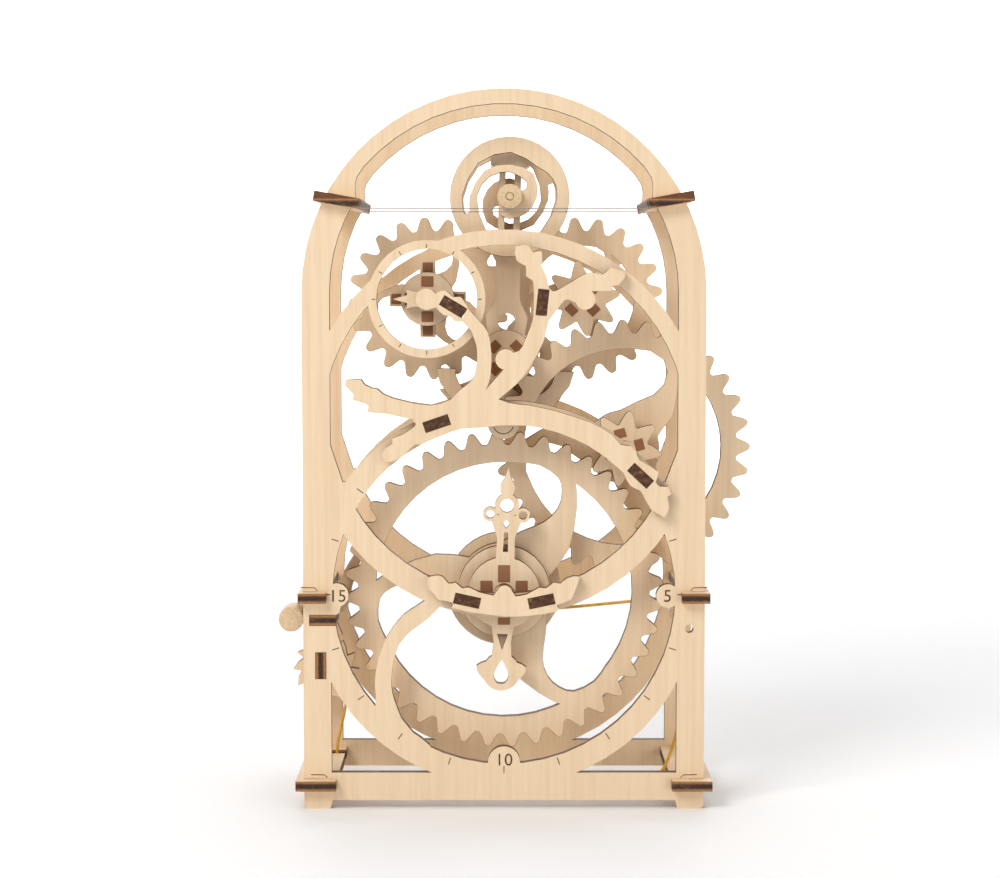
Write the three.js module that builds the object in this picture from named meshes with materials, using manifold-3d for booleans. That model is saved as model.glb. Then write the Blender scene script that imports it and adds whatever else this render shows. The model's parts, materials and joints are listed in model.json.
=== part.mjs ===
// A twenty-minute timer built from laser-cut plywood that presses together without glue.
// Two arched panels stand on their feet and carry a train of wooden wheels, a pendulum
// with an adjustable weight, a stop lever and a winding ratchet.
// Lengths are in millimetres. +X is right, +Z is up and +Y runs from the front to the back.
// Plan points are [x, z] pairs; y = 0 is the front face of the front panel.

import * as THREE from 'three';
import { mergeVertices } from 'three/addons/utils/BufferGeometryUtils.js';
import Module from 'manifold-3d';

const wasm = await Module();
wasm.setup();

// ---------------------------------------------------------------- driving dimensions

const ply = 3.6; // thickness of the plywood sheet
const airGap = 0.5; // air between sheets that turn past each other
const fit = 0.15; // clearance on each side of a tenon in its slot
const faceGap = 0.3; // space between two sheets that are pressed together
const largeSag = 0.11; // how far a facet may cut a large round edge
const smallSag = 0.06; // and a small one

const panelHalfWidth = 70.5;
const panelDepth = 52.4; // inside distance between the two panels
const postWidth = 9.7;
const archCentreZ = 181.9;
const footInner = 60.4;
const footHeight = 3;
const barTop = 12.8;
const rimNarrow = 5.2; // width of the arch rim at the top
const axleRadius = 1.5;
const boreClearance = 0.3; // radial play of an axle in a panel
const hubClearance = 0.15; // radial space between an axle and its own wheel
const bossRadius = 3.6;
const webWidth = 5; // ribs that join the bearings of the back panel

const gearModule = 2.75;
const mainTeeth = 40;
const relayTeeth = 32;
const pinionTeeth = 8;
const escapeTeeth = 20;

const dialRimInner = 60.2;
const dialRimOuter = 68.3;
const hubPlateRadius = 16.4;
const flangeRadius = 20.3;
const drumRadius = 9;
const rodWidth = 7.8;
const weightAxleRadius = 1.3;
const weightHeight = 56.7; // weight above the pendulum pivot
const weightRadius = 21.1;
const knobRadius = 4.4;
const restTilt = 1.45; // lean of the resting pendulum to the right, degrees
const ratchetRadius = 12.2;
const ratchetTeeth = 12;
const spoolRadius = 7;
const keyLength = 30;
const bandRadius = 0.6;
const threadRadius = 0.2;

// ---------------------------------------------------------------- places worked out

const postInner = panelHalfWidth - postWidth;
const postMiddle = -(panelHalfWidth - postWidth / 2);
const pitch = ply + airGap;
const level = (count) => count * pitch; // front face of the sheet that stands count levels in
const overlayFront = -(ply + faceGap);
const backFront = ply + panelDepth;
const pitchRadius = (teeth) => (gearModule * teeth) / 2;
const degrees = THREE.MathUtils.degToRad;

const mainCentre = [0, 76.1];
const relayCentre = along(mainCentre, 49.8, pitchRadius(mainTeeth) + pitchRadius(pinionTeeth));
const upperCentre = along(relayCentre, 105.3, pitchRadius(relayTeeth) + pitchRadius(pinionTeeth));
const secondsCentre = along(upperCentre, 180, 2 * pitchRadius(escapeTeeth));
const pendulumCentre = [(upperCentre[0] + secondsCentre[0]) / 2, upperCentre[1] - 20.8];
const leverPivot = [postMiddle + 5.15, 71.6];
const ratchetCentre = [postMiddle, 42.7];

const lidOuter = { centre: [0, 133.8], radius: 70 };
const lidInner = { centre: [0, 134.8], radius: 63.7 };
const lowerLid = { centre: [0, 136.6], inner: dialRimInner, outer: 68.6 };
const archInner = panelHalfWidth - rimNarrow;
const slotGap = ply / 2 + fit;

const laps = [
  { name: 'tie_bottom', lap: [postMiddle, 8.7], outward: 7.65, inward: 6.55, lean: 0 },
  { name: 'tie_middle', lap: [postMiddle, 75.2], outward: 6.45, inward: 3.35, lean: 0 },
  { name: 'tie_top', lap: [-57.9, archCentreZ + 32], outward: 8, inward: 8, lean: -10 },
];

// ---------------------------------------------------------------- outlines in the plan

function along([x, z], angle, distance) {
  return [x + distance * Math.cos(degrees(angle)), z + distance * Math.sin(degrees(angle))];
}

function angleOf([x, z], [px, pz]) {
  return THREE.MathUtils.radToDeg(Math.atan2(pz - z, px - x));
}

function mirrored(points) {
  return points.map(([x, z]) => [-x, z]);
}

function moved(points, [dx, dz]) {
  return points.map(([x, z]) => [x + dx, z + dz]);
}

function turned(points, angle) {
  const c = Math.cos(degrees(angle));
  const s = Math.sin(degrees(angle));
  return points.map(([x, z]) => [c * x - s * z, s * x + c * z]);
}

function scaled(points, factor) {
  return points.map(([x, z]) => [factor * x, factor * z]);
}

function arc(centre, radius, from, to) {
  const sag = radius > 30 ? largeSag : smallSag;
  const facet = Math.min(32, THREE.MathUtils.radToDeg(2 * Math.acos(1 - sag / radius)));
  const count = Math.max(1, Math.ceil(Math.abs(to - from) / facet));
  const points = [];
  for (let i = 0; i <= count; i += 1) {
    points.push(along(centre, from + ((to - from) * i) / count, radius));
  }
  return points;
}

function disc(centre, radius) {
  return arc(centre, radius, 0, 360).slice(1);
}

function rectangle([x, z], width, height, lean = 0) {
  const corners = [
    [-width / 2, -height / 2],
    [width / 2, -height / 2],
    [width / 2, height / 2],
    [-width / 2, height / 2],
  ];
  return moved(turned(corners, lean), [x, z]);
}

function curve(points, perSpan = 2) {
  const spline = new THREE.SplineCurve(points.map(([x, z]) => new THREE.Vector2(x, z)));
  return spline.getPoints((points.length - 1) * perSpan).map((point) => [point.x, point.y]);
}

function fromPolar(pairs) {
  return pairs.map(([radius, angle]) => along([0, 0], angle, radius));
}

// ---------------------------------------------------------------- solids

function solid(geometry) {
  geometry.deleteAttribute('normal');
  geometry.deleteAttribute('uv');
  const merged = mergeVertices(geometry, 1e-4);
  const mesh = new wasm.Mesh({
    numProp: 3,
    vertProperties: merged.attributes.position.array,
    triVerts: Uint32Array.from(merged.index.array),
  });
  return new wasm.Manifold(mesh);
}

function plate(points, front, thickness = ply) {
  const shape = new THREE.Shape(points.map(([x, z]) => new THREE.Vector2(x, z)));
  const geometry = new THREE.ExtrudeGeometry(shape, { depth: thickness, bevelEnabled: false });
  geometry.rotateX(Math.PI / 2);
  geometry.translate(0, front + thickness, 0);
  return solid(geometry);
}

function through(points, front, thickness = ply) {
  return plate(points, front - 1, thickness + 2);
}

function join(...solids) {
  return solids.reduce((whole, next) => whole.add(next));
}

function cut(whole, ...tools) {
  return tools.reduce((rest, tool) => rest.subtract(tool), whole);
}

function block([x0, y0, z0], [x1, y1, z1]) {
  const geometry = new THREE.BoxGeometry(x1 - x0, y1 - y0, z1 - z0);
  geometry.translate((x0 + x1) / 2, (y0 + y1) / 2, (z0 + z1) / 2);
  return solid(geometry);
}

function rod(centre, radius, front, back) {
  return plate(disc(centre, radius), front, back - front);
}

function tube(points, radius, steps) {
  const path = new THREE.CatmullRomCurve3(points.map((point) => new THREE.Vector3(...point)));
  const section = new THREE.Shape();
  section.absarc(0, 0, radius, 0, 2 * Math.PI);
  return solid(
    new THREE.ExtrudeGeometry(section, { extrudePath: path, steps, curveSegments: 3 }),
  );
}

function piece(name, body, { color = 0xf0d8b4, roughness = 0.62, metalness = 0 } = {}) {
  const { vertProperties, triVerts, numProp } = body.getMesh();
  const positions = new Float32Array((vertProperties.length / numProp) * 3);
  for (let i = 0; i < positions.length / 3; i += 1) {
    positions.set(vertProperties.subarray(i * numProp, i * numProp + 3), i * 3);
  }
  const geometry = new THREE.BufferGeometry();
  geometry.setAttribute('position', new THREE.BufferAttribute(positions, 3));
  geometry.setIndex(new THREE.BufferAttribute(Uint32Array.from(triVerts), 1));
  geometry.computeVertexNormals();
  const mesh = new THREE.Mesh(
    geometry,
    new THREE.MeshStandardMaterial({ color, roughness, metalness }),
  );
  mesh.name = name;
  return mesh;
}

function assembly(centre, lean, ...meshes) {
  const group = new THREE.Group();
  group.position.set(centre[0], 0, centre[1]);
  group.rotation.y = degrees(lean);
  group.add(...meshes);
  return group;
}

const dowelLook = { color: 0xe8cfa4, roughness: 0.55 };
const edgeLook = { color: 0xc79a63, roughness: 0.7 };

// ---------------------------------------------------------------- the branching tree

const curlArm = [
  arc([-26.9, 179.6], 3.7, 30, 290),
  [[-23.6, 176.8], [-21.2, 174.3], [-18.7, 173.6], [-17, 171.9], [-14.5, 171.9]],
  [[-11.4, 168.7], [-9.6, 163.8], [-9.3, 158.9], [-10.3, 153.3], [-12.1, 150.5]],
  [[-7.2, 146], [-5.9, 149], [-4.7, 153.3], [-4.4, 160.7], [-5.5, 168], [-8.2, 171.6]],
  [[-11.9, 175.7], [-14.5, 179.9], [-15.8, 180.4], [-17.7, 180.3]],
  [[-19.8, 182.3], [-21.6, 182.6], [-23.5, 181.6]],
];

const upperLeftTwig = [
  [[-4.4, 146], [-12.1, 150.5], [-18.4, 144.9], [-25.5, 142.8], [-33.1, 143.9]],
  [[-38.7, 145.3], [-42.2, 146.8], [-43.8, 148.4], [-46, 148.8], [-48.5, 150]],
  [[-49.7, 151.7], [-52.3, 151.9], [-54.8, 151.6], [-55.1, 149.5], [-52.3, 146.7]],
  [[-52.7, 144.6], [-48.5, 143.5], [-47.1, 142.1], [-47.4, 140.4], [-41.7, 140]],
  [[-35.2, 138.6], [-31.5, 137.9], [-30.6, 136.5], [-16, 134.5], [-2, 135.8]],
];

const lowerLeftTwig = [
  [[-30.6, 138], [-30.9, 135.6], [-35.2, 132.7], [-38.7, 131.3], [-38.7, 129.5]],
  [[-41.1, 128.1], [-42.2, 126.4], [-42.2, 124.6], [-40.8, 123.1], [-38.7, 123.3]],
  [[-35.7, 124.6], [-33.1, 127.1], [-31, 129.2], [-29.3, 129], [-26.8, 130.1]],
  [[-20.5, 132.7], [-14.2, 135.1], [-7.7, 136.5], [-1.2, 136.3], [-4, 142], [-16, 143]],
];

const longBranch = [
  [[-2, 135.8], [7.5, 135.8], [18.7, 133.4], [29.9, 128.5], [36.6, 123.6]],
  [[41.5, 119.4], [43.9, 114.8], [47.4, 113.1], [49.2, 109.9], [51.3, 106.4]],
  [[55.8, 103.7], [57.6, 106.8], [56.9, 111], [58.3, 111.7], [57.2, 114.5]],
  [[54.4, 114.5], [52.7, 116.2], [53.7, 119.7], [47.1, 123.9], [46, 126.7]],
  [[43.9, 128.8], [40.4, 129.2], [37.3, 132.7], [29.9, 136.9], [17.3, 141]],
  [[8.9, 142.8], [2, 143.6], [-4.4, 146]],
];

const trunk = [
  [[-3.3, 143.9], [4.7, 150.5], [8.6, 155.8], [11.4, 160.3], [13.8, 165.2]],
  [[15.6, 172.2], [18, 175.4], [20, 178.2], [21.9, 179.6], [25.4, 178]],
  arc([28.1, 179], 2.8, 200, 345),
  [[30.3, 182.4], [37.3, 182.5], [37.3, 184.1], [39.7, 184.5], [41.8, 187.3]],
  [[41.7, 188.9], [37.3, 190.5], [35.9, 189.7], [34.1, 188.1], [29.9, 189]],
  [[26.1, 187.3], [22.2, 184.8], [17.2, 182]],
  [[15.6, 183.4], [14.7, 187.6], [13.1, 191.1], [13.1, 196], [10, 195.7]],
  [[8.6, 198.1], [4, 197.8], [4.4, 192.9], [7.5, 191], [7.5, 187.6]],
  [[10, 185.9], [10.3, 181.7], [10.1, 173.6], [9.1, 169.8], [6.3, 163.1]],
  [[5.2, 161.7], [3, 161]],
  [[0, 155.4], [-4.4, 150.5], [-6.5, 147.6], [-6, 144.5]],
];

const treeKeys = [
  { centre: [-17.6, 177], lean: -31 },
  { centre: [13.3, 178.5], lean: 84 },
  { centre: [-23.4, 136.5], lean: 19 },
  { centre: [47.5, 118.3], lean: -43 },
];

const bridgeKeys = [
  { centre: [-12.9, 74.5], lean: -12.5 },
  { centre: [13.1, 74.3], lean: 12 },
];

const keySize = [9, ply];

const bridgeOutline = [
  ...curve([[-26.8, 82.6], [-24.3, 83.3], [-21.5, 83], [-19.4, 80.5], [-17, 80.9]]),
  ...curve([[-14.5, 78.8], [-12.1, 79.1], [-8.6, 77.4], [-3.7, 76.3]]),
  ...arc([0.2, 77.2], 2.7, 160, 15),
  ...curve([[4, 76], [7.9, 76.7], [12.4, 79.1], [14.5, 78.8], [17.3, 80.9]]),
  ...curve([[19.8, 80.5], [21.9, 82.3], [26.4, 83], [24.3, 76.7], [23.5, 74.9]]),
  ...curve([[18.4, 72.8], [18.4, 70.7], [7.9, 69.1], [0.2, 69], [-11.7, 70.4]]),
  ...curve([[-18.4, 72.1], [-18, 73.9], [-22.9, 74.9], [-24.3, 76.7], [-26.4, 78.8]]),
];

// Ribs inside the limbs, so a bearing stays joined to its limb wherever the wheels put it.
const treeRibs = [
  { points: [[17, 181.5], upperCentre], width: 2 },
  { points: [[-16, 176.5], secondsCentre], width: 3 },
  { points: [[4, 157], pendulumCentre], width: 3 },
];

function tree(front, perSpan) {
  const limbs = [curlArm, upperLeftTwig, lowerLeftTwig, longBranch, trunk];
  const branches = limbs.map((runs) =>
    plate(runs.flatMap((run) => curve(run, perSpan)), front));
  const knob = rod(pendulumCentre, bossRadius, front, front + ply);
  const bosses = [upperCentre, secondsCentre].map((centre) =>
    rod(centre, bossRadius, front, front + ply));
  const ribs = treeRibs.map(({ points, width }) => plate(ribbon(points, width), front));
  return join(...branches, knob, ...bosses, ...ribs);
}

const webRuns = [
  [secondsCentre, [-14, 176], [-7, 166], [-6, 154], [-4, 140]],
  [[-2, 142], [6, 151], [11, 160], [12.6, 170], [12, 182], [9, 200]],
  [[12, 178], upperCentre, [36, 188], [42, 194]],
  [pendulumCentre, [9, 159]],
];

function ribbon(points, width) {
  const middle = curve(points);
  const side = (sign) => middle.map(([x, z], i) => {
    const before = middle[Math.max(0, i - 1)];
    const after = middle[Math.min(middle.length - 1, i + 1)];
    return along([x, z], angleOf(before, after) + sign * 90, width / 2);
  });
  return [...side(-1), ...side(1).reverse()];
}

function web(front) {
  const bosses = [secondsCentre, upperCentre, pendulumCentre].map((centre) =>
    plate(disc(centre, bossRadius), front));
  return join(...webRuns.map((points) => plate(ribbon(points, webWidth), front)), ...bosses);
}

function keySlots(keys, front) {
  const [long, across] = keySize;
  return keys.map(({ centre, lean }) =>
    through(rectangle(centre, long + 2 * fit, across + 2 * fit, lean), front));
}

function keyPlate({ centre, lean }) {
  return plate(rectangle(centre, ...keySize, lean), overlayFront - fit, 2 * ply + faceGap);
}

// ---------------------------------------------------------------- the two panels

const rimStep = archInner - postInner;
const ogee = [[32.8, 0.1], [34.4, 0.4], [36, 0.68], [38, 0.9]].map(([angle, share]) =>
  along([0, archCentreZ], angle, postInner + rimStep * share));

const topOpening = [
  ...arc(lidOuter.centre, lidOuter.radius, 150.29, 29.71),
  [postInner, archCentreZ],
  ...arc([0, archCentreZ], postInner, 0, 31),
  ...ogee,
  ...arc([0, archCentreZ], archInner, 42, 138),
  ...mirrored(ogee).reverse(),
  ...arc([0, archCentreZ], postInner, 149, 180),
];

const footprint = [
  [-panelHalfWidth, 1],
  [-panelHalfWidth + 1, 0],
  [-footInner - 0.8, 0],
  [-footInner, footHeight],
  [footInner, footHeight],
  [footInner + 0.8, 0],
  [panelHalfWidth - 1, 0],
  [panelHalfWidth, 1],
  ...arc([0, archCentreZ], panelHalfWidth, 0, 180),
];

const lidTop = lidOuter.centre[1] + lidOuter.radius;
const windowAboveDial = [
  [-postInner, 128.8],
  [-56.5, 115.7],
  [56.5, 115.7],
  [postInner, 127],
  [postInner, lidTop],
  [-postInner, lidTop],
];

function panelWindows(front) {
  const annulus = through(disc(mainCentre, dialRimOuter), front);
  const dial = through(disc(mainCentre, dialRimInner), front);
  const upper = through(windowAboveDial, front);
  const underLid = through(disc(lidInner.centre, lidInner.radius), front);
  const lens = through(disc(lowerLid.centre, lowerLid.inner), front).intersect(dial);
  const bandBelow = through(disc(lowerLid.centre, lowerLid.outer), front);
  const corners = through(rectangle([0, 40], 2 * postInner, 2 * (40 - barTop)), front);
  return [
    through(topOpening, front),
    cut(upper.intersect(underLid), annulus),
    lens,
    cut(dial, bandBelow),
    cut(corners, annulus),
  ];
}

const numberLobes = [
  { centre: [-58.7, 75.9], radius: 4.2 },
  { centre: [57.6, 75.6], radius: 4.2 },
  { centre: [0, 16.5], radius: 5.7 },
];

const sideBranch = [
  ...curve([[-48.5, 33], [-45.2, 36.9], [-45.5, 44.8], [-44.8, 50.4], [-43.4, 55.5]]),
  ...curve([[-41.7, 60.2], [-39, 64.4], [-35.2, 69], [-31, 71.8], [-26.1, 75.2]]),
  ...curve([[-20, 74.5], [-26, 68.3], [-29.2, 65.8], [-33.6, 62.4], [-36.9, 58.5]]),
  ...curve([[-38.7, 53.6], [-39.4, 49], [-39.6, 43.4], [-38.7, 38.9], [-36.2, 32.2]]),
  ...curve([[-32, 27], [-26.1, 22.4], [-26, 17.5]]),
];

const subdial = { inner: 17.5, outer: 20.5 };

function lapSlots(front) {
  return laps.flatMap(({ lap, outward, lean }) => {
    const reach = outward + 6;
    const local = rectangle([-reach / 2 + fit, 0], reach, 2 * slotGap);
    const slot = moved(turned(local, lean), lap);
    return [through(slot, front), through(mirrored(slot), front)];
  });
}

function axleBores(front) {
  const centres = [mainCentre, relayCentre, upperCentre, secondsCentre, pendulumCentre];
  return centres.map((centre) => through(disc(centre, axleRadius + boreClearance), front));
}

function panel(front, { lobes }) {
  let body = cut(plate(footprint, front), ...panelWindows(front));
  if (lobes) {
    const extras = numberLobes.map(({ centre, radius }) => plate(disc(centre, radius), front));
    const ring = plate(disc(secondsCentre, subdial.outer), front);
    const hole = through(disc(secondsCentre, subdial.inner), front);
    body = cut(join(body, ...extras, plate(sideBranch, front), ring), hole);
  }
  const bosses = [mainCentre, relayCentre].map((centre) =>
    plate(disc(centre, bossRadius), front));
  const onRim = along(mainCentre, 49.8, (dialRimInner + dialRimOuter) / 2);
  bosses.push(plate(ribbon([relayCentre, onRim], bossRadius), front));
  body = join(body, lobes ? tree(front, 1) : web(front), ...bosses);
  return cut(body, ...lapSlots(front), ...axleBores(front));
}

const bracketTenon = { x: [-68.3, -59], z: [67 - ply / 2, 67 + ply / 2] };
const ratchetTenon = { x: [-64.45 - ply / 2, -64.45 + ply / 2], z: [46.3, 55.5] };

function tenonSlot({ x, z }, front) {
  const centre = [(x[0] + x[1]) / 2, (z[0] + z[1]) / 2];
  return through(rectangle(centre, x[1] - x[0] + 2 * fit, z[1] - z[0] + 2 * fit), front);
}

const leverPinRadius = 1.5;
const frontPanel = cut(
  join(panel(0, { lobes: true }), plate(disc(leverPivot, 3.2), 0)),
  ...keySlots(treeKeys, 0),
  ...keySlots(bridgeKeys, 0),
  tenonSlot(bracketTenon, 0),
  tenonSlot(ratchetTenon, 0),
  through(disc([65.1, 64], 1.5), 0),
);

const pawlPivot = [postMiddle, 64];
const guidePin = [-postMiddle - 1.65, 66];
const backPanel = cut(
  panel(backFront, { lobes: false }),
  through(disc(ratchetCentre, axleRadius + boreClearance), backFront),
  through(disc(pawlPivot, axleRadius + fit), backFront),
  through(disc(guidePin, axleRadius + fit), backFront),
);

const overlay = cut(tree(overlayFront, 2), ...keySlots(treeKeys, overlayFront));
const bridge = cut(plate(bridgeOutline, overlayFront), ...keySlots(bridgeKeys, overlayFront));

// ---------------------------------------------------------------- ties across the frame

const tieFront = -4;
const tieBack = backFront + ply + 4;

function tie({ lap, outward, inward, lean }, side) {
  const notch = (front) =>
    block([-fit, front - fit, -ply], [inward + 1, front + ply + fit, ply]);
  const bar = block([-outward, tieFront, -ply / 2], [inward, tieBack, ply / 2]);
  const notched = cut(bar, notch(0), notch(backFront));
  return notched
    .rotate([0, -lean, 0])
    .translate([lap[0], 0, lap[1]])
    .scale([side, 1, 1]);
}

const bandNotch = block([-64.3, 43, 0], [-50, 49, 20]);
const ties = laps.flatMap((spec) => {
  const left = tie(spec, 1);
  return [
    piece(`${spec.name}_left`, spec.lap[1] < 20 ? cut(left, bandNotch) : left),
    piece(`${spec.name}_right`, tie(spec, -1)),
  ];
});

const threadEnd = 49;
function thread(height) {
  return tube([[-threadEnd, 5, height], [0, 5, height], [threadEnd, 5, height]], threadRadius, 2);
}

// ---------------------------------------------------------------- wheels

// Heights are in modules, share is the tooth's part of the pitch and slope is its flank angle.
const wheelTooth = { addendum: 0.6, dedendum: 1.1, share: 0.41, slope: 25 };
const pinionTooth = { addendum: 0.9, dedendum: 0.85, share: 0.46, slope: 25 };
const escapeTooth = { addendum: 0.6, dedendum: 1.1, share: 0.43, slope: 20 };

function toothed(teeth, phase, { addendum, dedendum, share, slope }) {
  const radius = pitchRadius(teeth);
  const tip = radius + gearModule * addendum;
  const root = radius - gearModule * dedendum;
  const half = (share * Math.PI * gearModule) / 2;
  const spread = (r, trim = 0) =>
    THREE.MathUtils.radToDeg((half - (r - radius) * Math.tan(degrees(slope)) - trim) / r);
  const points = [];
  for (let i = 0; i < teeth; i += 1) {
    const middle = phase + (360 / teeth) * i;
    const foot = Math.min(spread(root + 0.7), 176 / teeth);
    const side = [
      [root, foot + 0.5 * (180 / teeth - foot)],
      [root + 0.7, foot],
      [tip - 1, spread(tip - 1)],
      [tip - 0.3, spread(tip - 1, 0.55)],
      [tip, spread(tip - 1, 1.15)],
    ];
    const falling = [...side].reverse();
    side.forEach(([r, turn]) => points.push(along([0, 0], middle - turn, r)));
    falling.forEach(([r, turn]) => points.push(along([0, 0], middle + turn, r)));
  }
  return points;
}

// Phase that puts a gap of the second wheel where a tooth of the first one points.
function meshed(first, teeth, phase, second, mateTeeth) {
  const line = angleOf(first, second);
  return line + 180 - ((phase - line) * teeth) / mateTeeth + 180 / mateTeeth;
}

const mainPhase = 3;
const relayPhase = 0.2;
const secondsPhase = 3.5;
const relayPinionPhase = meshed(mainCentre, mainTeeth, mainPhase, relayCentre, pinionTeeth);
const upperPinionPhase = meshed(relayCentre, relayTeeth, relayPhase, upperCentre, pinionTeeth);
const upperPhase = meshed(secondsCentre, escapeTeeth, secondsPhase, upperCentre, escapeTeeth);

// Width of each wheel's rim, from the pitch circle in to the windows.
const mainRim = 9.3;
const relayRim = 8.7;
const escapeRim = 8.5;
const rimInside = (teeth, rim) => pitchRadius(teeth) - rim;
const windowRim = 45.7; // inner edge of the rim that the window's outline is drawn for
const windowLobe = [
  [5.7, 45.3], [12.6, 44.5], [19.2, 40.1], [20.6, 34.8],
  [19.2, 29.1], [14.4, 24.3], [6.2, 20.8], [-1, 17.2],
];
const windowTail = [[-12.4, 11.6], [-24.6, 12.7], [-38.2, 7.9], [-45.6, 3.3]];

function sweptWindow(rim) {
  const factor = rim / windowRim;
  const perSpan = factor < 1 ? 1 : 2;
  return [
    ...scaled(curve(windowLobe, perSpan), factor),
    ...arc([0, 0], 17 * factor, 100, 130),
    ...scaled(curve(windowTail, perSpan), factor),
    ...arc([0, 0], rim, 172, 87),
  ];
}

function wheel(outline, front, windowOuter = 0) {
  const bore = through(disc([0, 0], axleRadius + hubClearance), front);
  const windows = windowOuter > 0
    ? [0, 120, 240].map((turn) =>
      through(turned(sweptWindow(windowOuter), turn), front))
    : [];
  return cut(plate(outline, front), bore, ...windows);
}

const axleFront = 0.4;
const axleBack = backFront + ply - axleFront;
const axle = () => rod([0, 0], axleRadius, axleFront, axleBack);

// ---------------------------------------------------------------- pointer of the dial

const pointerFront = level(1);
const pointerBody = [
  curve([[0, 44.6], [1.1, 40.8], [2.7, 37.8], [1.8, 34.4], [0, 33.5], [-1.8, 34.4],
    [-2.7, 37.8], [-1.1, 40.8], [0, 44.6]]),
  disc([0, 30.9], 4.3),
  disc([5.75, 27.7], 2.6),
  disc([-5.75, 27.7], 2.6),
  [[-6, 27.5], [-4.4, 23], [-3.1, 19.5], [-3.4, 11], [3.4, 11], [3.1, 19.5], [4.4, 23], [6, 27.5]],
  disc([0, 0], 12.7),
  [[-4.2, -11], [-3, -17.5], [-3.6, -24], [3.6, -24], [3, -17.5], [4.2, -11]],
  disc([0, -28.2], 6.6),
  curve([[-5, -24.5], [-8.8, -26.3], [-6.6, -30.5], [0, -33], [6.6, -30.5], [8.8, -26.3],
    [5, -24.5]]),
];
const pointerHoles = [
  disc([0, 30.9], 2.43),
  disc([5.75, 27.7], 1.48),
  disc([-5.75, 27.7], 1.48),
  [[0, 26], [1.3, 24.4], [0, 22.8], [-1.3, 24.4]],
  [[-0.9, 14.6], [0.9, 14.6], [0.7, 21.5], [-0.7, 21.5]],
  [[-1.9, -14.6], [0, -20.3], [1.9, -14.6]],
  curve([[0, -23.6], [1.6, -26.5], [2.7, -29.6], [1.6, -32], [0, -32.4], [-1.6, -32],
    [-2.7, -29.6], [-1.6, -26.5], [0, -23.6]]),
  disc([0, 0], axleRadius + hubClearance),
];
const pointerSolid = cut(
  join(...pointerBody.map((points) => plate(points, pointerFront))),
  ...pointerHoles.map((points) => through(points, pointerFront)),
);

const mainArbor = assembly(
  mainCentre,
  0,
  piece('main_gear',
    wheel(toothed(mainTeeth, mainPhase, wheelTooth), level(3), rimInside(mainTeeth, mainRim))),
  piece('hub_plate', wheel(disc([0, 0], hubPlateRadius), level(2))),
  piece('drum_flange_front', wheel(disc([0, 0], flangeRadius), level(4))),
  piece('winding_drum', cut(
    rod([0, 0], drumRadius, level(5), level(9) - airGap),
    rod([0, 0], axleRadius + hubClearance, level(5) - 1, level(9) + 1),
  )),
  piece('drum_flange_rear', wheel(disc([0, 0], 2 * drumRadius), level(9))),
  piece('main_axle', axle(), dowelLook),
);
const pointerTurned = assembly(mainCentre, 2, piece('pointer', pointerSolid));

const relayArbor = assembly(
  relayCentre,
  0,
  piece('relay_pinion',
    wheel(toothed(pinionTeeth, relayPinionPhase, pinionTooth), level(3)), edgeLook),
  piece('relay_gear', wheel(
    toothed(relayTeeth, relayPhase, wheelTooth), level(5), rimInside(relayTeeth, relayRim))),
  piece('relay_axle', axle(), dowelLook),
);

const upperArbor = assembly(
  upperCentre,
  0,
  piece('upper_pinion',
    wheel(toothed(pinionTeeth, upperPinionPhase, pinionTooth), level(5)), edgeLook),
  piece('upper_gear', wheel(
    toothed(escapeTeeth, upperPhase, escapeTooth), level(7), rimInside(escapeTeeth, escapeRim))),
  piece('upper_axle', axle(), dowelLook),
);

// ---------------------------------------------------------------- seconds train

const crossArm = { length: 13.5, width: 5.4 };
const crossOutline = [0, 90].map((turn) =>
  rectangle([0, 0], 2 * crossArm.length, crossArm.width, turn));
const handOutline = [
  ...arc([0, 0], 3.4, -60, 60),
  ...curve([[-1.5, 3], [-4.5, 2.6], [-7.5, 3.4], [-7, 1.4], [-12.1, 0], [-7, -1.4],
    [-7.5, -3.4], [-4.5, -2.6], [-1.5, -3]]),
];

const secondsArbor = assembly(
  secondsCentre,
  0,
  piece('seconds_gear', wheel(
    toothed(escapeTeeth, secondsPhase, escapeTooth), level(7), rimInside(escapeTeeth, escapeRim))),
  piece('seconds_cross', cut(
    join(
      ...crossOutline.map((points) => plate(points, level(3))),
      plate(disc([0, 0], 6), level(3)),
    ),
    through(disc([0, 0], axleRadius + hubClearance), level(3)),
  )),
  piece('seconds_disc', wheel(disc([0, 0], 9.5), level(2))),
  piece('seconds_hand', wheel(handOutline, level(1)), edgeLook),
  piece('seconds_axle', axle(), dowelLook),
);

// ---------------------------------------------------------------- pendulum and escapement

const rodSlot = { width: 2 * weightAxleRadius + 0.6, from: 38.1, to: 67.1 };
const rodHead = { width: 14, height: 5 };

const rodOutline = [
  ...arc([0, 0], 8.2, 205, 335),
  ...curve([[7.6, 3], [6.6, 8], [7.5, 14.1], [5.6, 18], [rodWidth / 2 + 0.5, 21]]),
  [rodWidth / 2 + 0.5, 34],
  [rodWidth / 2 + 1.6, 36],
  [rodWidth / 2, rodSlot.from],
  [rodWidth / 2, rodSlot.to],
  [rodHead.width / 2, rodSlot.to + 1],
  [rodHead.width / 2, rodSlot.to + rodHead.height],
  [-rodHead.width / 2, rodSlot.to + rodHead.height],
  [-rodHead.width / 2, rodSlot.to + 1],
  [-rodWidth / 2, rodSlot.to],
  [-rodWidth / 2, rodSlot.from],
  [-rodWidth / 2 - 1.6, 36],
  [-rodWidth / 2 - 0.5, 34],
  ...curve([[-rodWidth / 2 - 0.5, 21], [-5.6, 18], [-7.5, 14.1], [-6.6, 8], [-7.6, 3]]),
];

function rodPlate(front) {
  const middle = (rodSlot.from + rodSlot.to) / 2;
  const slot = rectangle([0, middle], rodSlot.width, rodSlot.to - rodSlot.from);
  return cut(
    wheel(rodOutline, front),
    through(slot, front),
    through(disc([0, 12.6], 3.1), front),
  );
}

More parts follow.
